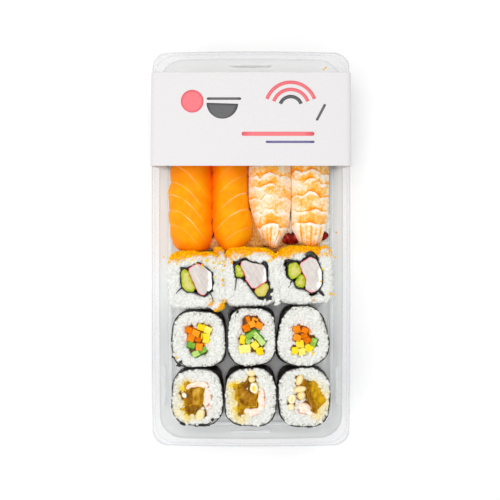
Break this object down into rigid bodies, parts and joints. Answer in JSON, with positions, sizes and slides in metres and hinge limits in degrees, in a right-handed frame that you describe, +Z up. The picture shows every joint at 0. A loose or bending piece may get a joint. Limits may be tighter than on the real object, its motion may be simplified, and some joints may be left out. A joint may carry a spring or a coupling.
{
  "type": "takeaway sushi tray",
  "caption": "Open clear plastic takeaway tray of sushi with a white card band round its far end: salmon and prawn nigiri, inside-out rolls with roe, and thick seaweed-wrapped rolls.",
  "frame": {"origin": "on the surface it stands on, under the middle of the tray's outer box", "axes": "+Z up; +Y along the tray towards the end with the card band; +X to the right seen from above with +Y away"},
  "size_m": [0.1274, 0.25, 0.0372],
  "materials": {
    "clear_plastic": "clear thermoformed PET sheet, glossy",
    "white_card": "white coated folding card, satin",
    "rice": "boiled short-grain rice, moist and off-white",
    "seaweed": "toasted nori sheet, near black",
    "salmon": "raw salmon, moist, orange with paler fat lines",
    "cooked_prawn": "boiled prawn, pale with orange bands",
    "prawn_tail": "prawn tail shell, dark red",
    "carrot": "cut carrot, orange, moist",
    "egg": "sliced omelette, yellow",
    "cucumber": "cut cucumber, pale green with dark skin",
    "avocado": "ripe avocado, yellow-green",
    "surimi": "crab stick, white with pink-red skin",
    "simmered_gourd": "simmered gourd strips, amber, wet",
    "kernel": "pale cooked kernels"
  },
  "bodies": {
    "root": {"card_band": "white_card", "gourd_roll_left_gourd": "simmered_gourd", "gourd_roll_left_kernel_left": "kernel", "gourd_roll_left_kernel_near": "kernel", "gourd_roll_left_nori": "seaweed", "gourd_roll_left_prawn": "cooked_prawn", "gourd_roll_left_rice": "rice", "gourd_roll_mid_gourd": "simmered_gourd", "gourd_roll_mid_kernel": "kernel", "gourd_roll_mid_nori": "seaweed", "gourd_roll_mid_prawn": "cooked_prawn", "gourd_roll_mid_rice": "rice", "gourd_roll_right_gourd": "simmered_gourd", "gourd_roll_right_kernel_far": "kernel", "gourd_roll_right_kernel_left": "kernel", "gourd_roll_right_nori": "seaweed", "gourd_roll_right_prawn": "cooked_prawn", "gourd_roll_right_rice": "rice", "inside_out_roll_left_avocado": "avocado", "inside_out_roll_left_nori": "seaweed", "inside_out_roll_left_rice": "rice", "inside_out_roll_left_surimi": "surimi", "inside_out_roll_mid_avocado_left": "avocado", "inside_out_roll_mid_avocado_near": "avocado", "inside_out_roll_mid_nori": "seaweed", "inside_out_roll_mid_rice": "rice", "inside_out_roll_mid_surimi": "surimi", "inside_out_roll_right_avocado_far": "avocado", "inside_out_roll_right_avocado_near": "avocado", "inside_out_roll_right_nori": "seaweed", "inside_out_roll_right_rice": "rice", "inside_out_roll_right_surimi": "surimi", "prawn_left_body": "cooked_prawn", "prawn_left_rice": "rice", "prawn_left_tail": "prawn_tail", "prawn_right_body": "cooked_prawn", "prawn_right_rice": "rice", "prawn_right_tail": "prawn_tail", "salmon_left_rice": "rice", "salmon_left_slice": "salmon", "salmon_right_rice": "rice", "salmon_right_slice": "salmon", "tray": "clear_plastic", "vegetable_roll_left_carrot": "carrot", "vegetable_roll_left_cucumber": "cucumber", "vegetable_roll_left_egg": "egg", "vegetable_roll_left_nori": "seaweed", "vegetable_roll_left_rice": "rice", "vegetable_roll_mid_carrot": "carrot", "vegetable_roll_mid_cucumber": "cucumber", "vegetable_roll_mid_egg": "egg", "vegetable_roll_mid_nori": "seaweed", "vegetable_roll_mid_rice": "rice", "vegetable_roll_right_carrot": "carrot", "vegetable_roll_right_cucumber": "cucumber", "vegetable_roll_right_egg": "egg", "vegetable_roll_right_nori": "seaweed", "vegetable_roll_right_rice": "rice"}
  },
  "joints": []
}
